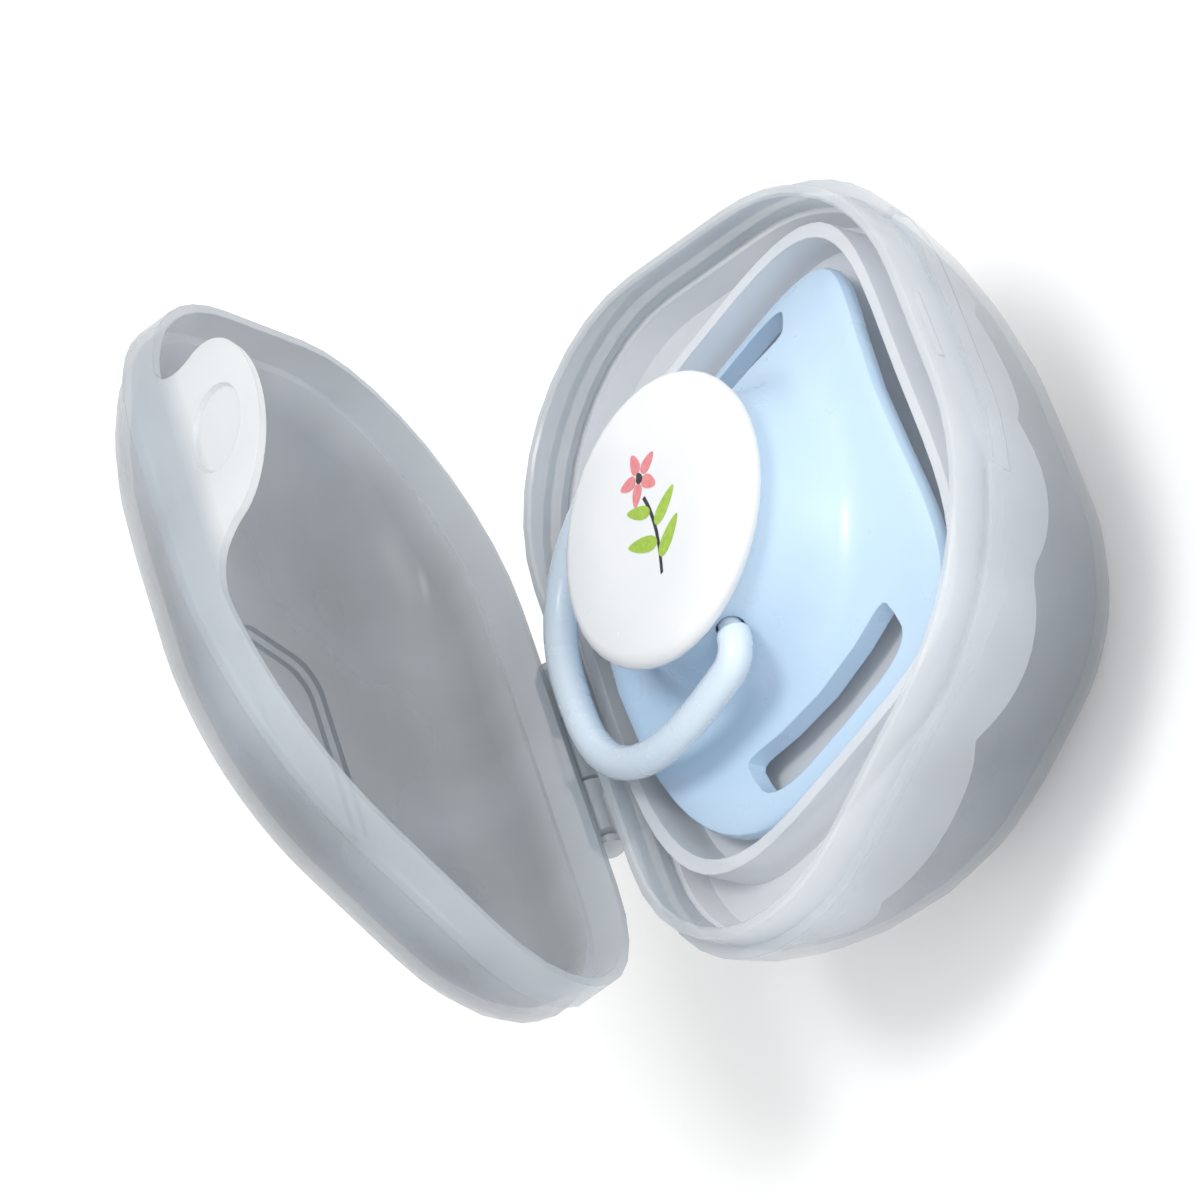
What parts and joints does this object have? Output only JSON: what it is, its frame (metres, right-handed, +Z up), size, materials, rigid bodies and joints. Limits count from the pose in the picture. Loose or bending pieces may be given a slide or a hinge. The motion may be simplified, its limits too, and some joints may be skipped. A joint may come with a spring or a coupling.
{
  "type": "pacifier storage box",
  "caption": "Translucent clam-shell case for a baby pacifier, with a hinged domed lid, a tongue catch, a fitted inner tray and a pacifier with a swinging ring handle.",
  "frame": {"origin": "centre of the flat foot under the base, on the surface the box stands on", "axes": "+X along the hinge pin, +Y from the hinge towards the catch, +Z up out of the base"},
  "size_m": [0.0746, 0.0703, 0.088],
  "materials": {
    "frosted_plastic": "frosted translucent",
    "tray_plastic": "frosted translucent",
    "blue_plastic": "smooth",
    "pale_blue_plastic": "smooth",
    "white_plastic": "smooth",
    "silicone": "satin"
  },
  "bodies": {
    "case_base": {"base_shell": "frosted_plastic", "inner_tray": "tray_plastic", "hinge_pin": "frosted_plastic", "shield": "blue_plastic", "teat": "silicone", "teat_plug": "blue_plastic", "button_cap": "white_plastic"},
    "lid": {"lid_shell": "frosted_plastic"},
    "ring": {"ring_handle": "pale_blue_plastic"}
  },
  "joints": [
    {"name": "lid_hinge", "type": "hinge", "parent": "case_base", "child": "lid", "pos_m": [0, -0.0286, 0.0305], "axis": [1, 0, 0], "range_deg": [-70.8, 39.2]},
    {"name": "ring_hinge", "type": "hinge", "parent": "case_base", "child": "ring", "pos_m": [0, 0.0009, 0.0374], "axis": [-1, 0, 0], "range_deg": [0, 190]}
  ]
}
